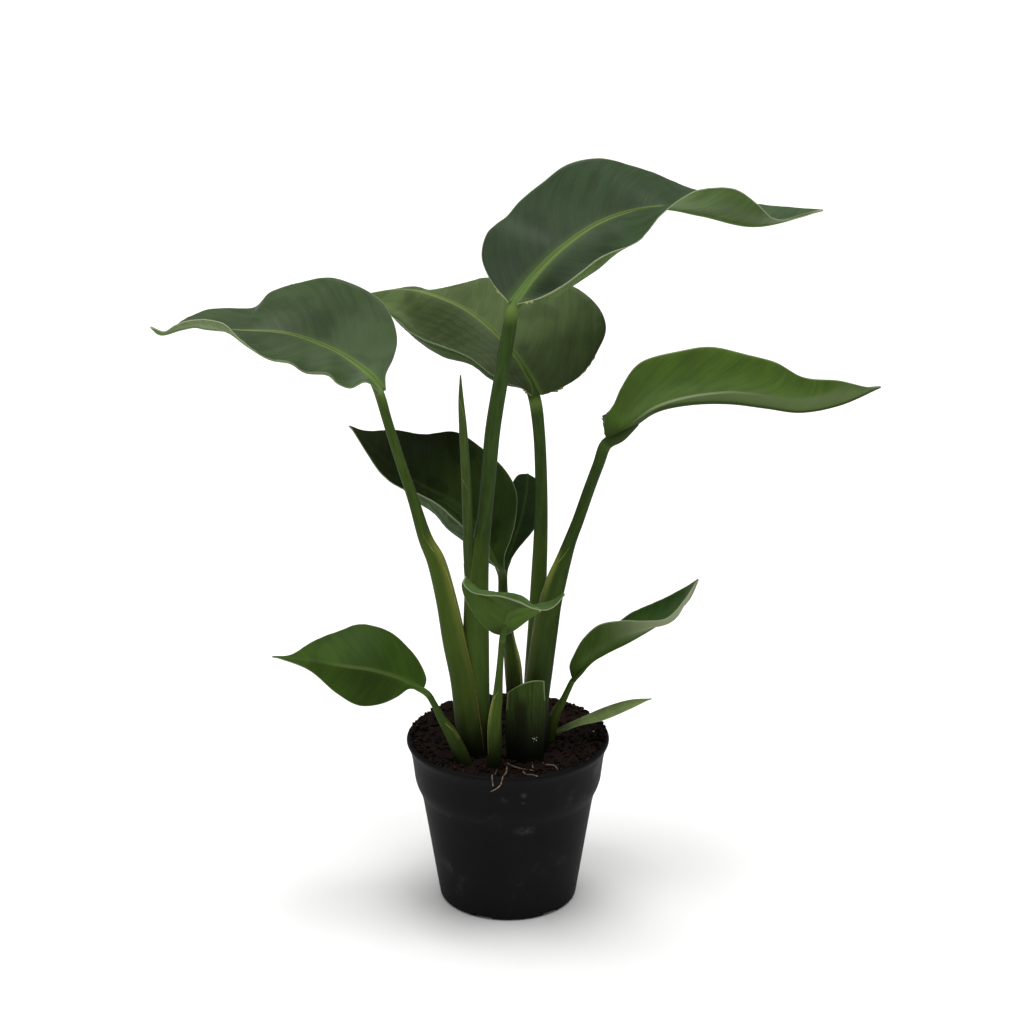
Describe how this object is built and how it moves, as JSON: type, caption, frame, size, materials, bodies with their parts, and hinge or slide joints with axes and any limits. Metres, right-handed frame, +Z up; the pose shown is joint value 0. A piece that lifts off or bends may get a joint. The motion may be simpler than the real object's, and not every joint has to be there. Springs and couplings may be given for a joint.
{
  "type": "potted bird of paradise plant",
  "caption": "Young potted bird of paradise with broad upright leaves on long stems in a round black nursery pot.",
  "frame": {"origin": "middle of the pot's flat base, on the surface that it stands on", "axes": "+Z up along the pot's axis, -Y to the side that the picture was taken from, +X to its right"},
  "size_m": [0.413, 0.2487, 0.4354],
  "materials": {
    "pot": "near-black moulded plastic, matt with a soft sheen, faint scuffs and dust",
    "soil": "damp dark brown peat with reddish chunks and pale perlite grains",
    "leaf": "leathery, satin, blue-green above, brighter green below, pale midrib",
    "young_leaf": "smooth satin light green"
  },
  "bodies": {
    "root": {"pot": "pot", "soil": "soil", "leaf_top": "leaf", "leaf_left_high": "leaf", "leaf_back_centre": "leaf", "leaf_right_high": "leaf", "leaf_back_dark": "leaf", "leaf_back_small": "leaf", "leaf_front_cupped": "leaf", "leaf_low_left": "leaf", "leaf_low_right": "leaf", "leaf_narrow_right": "leaf", "spear_leaf": "young_leaf", "leaf_short_blunt": "young_leaf"}
  },
  "joints": []
}
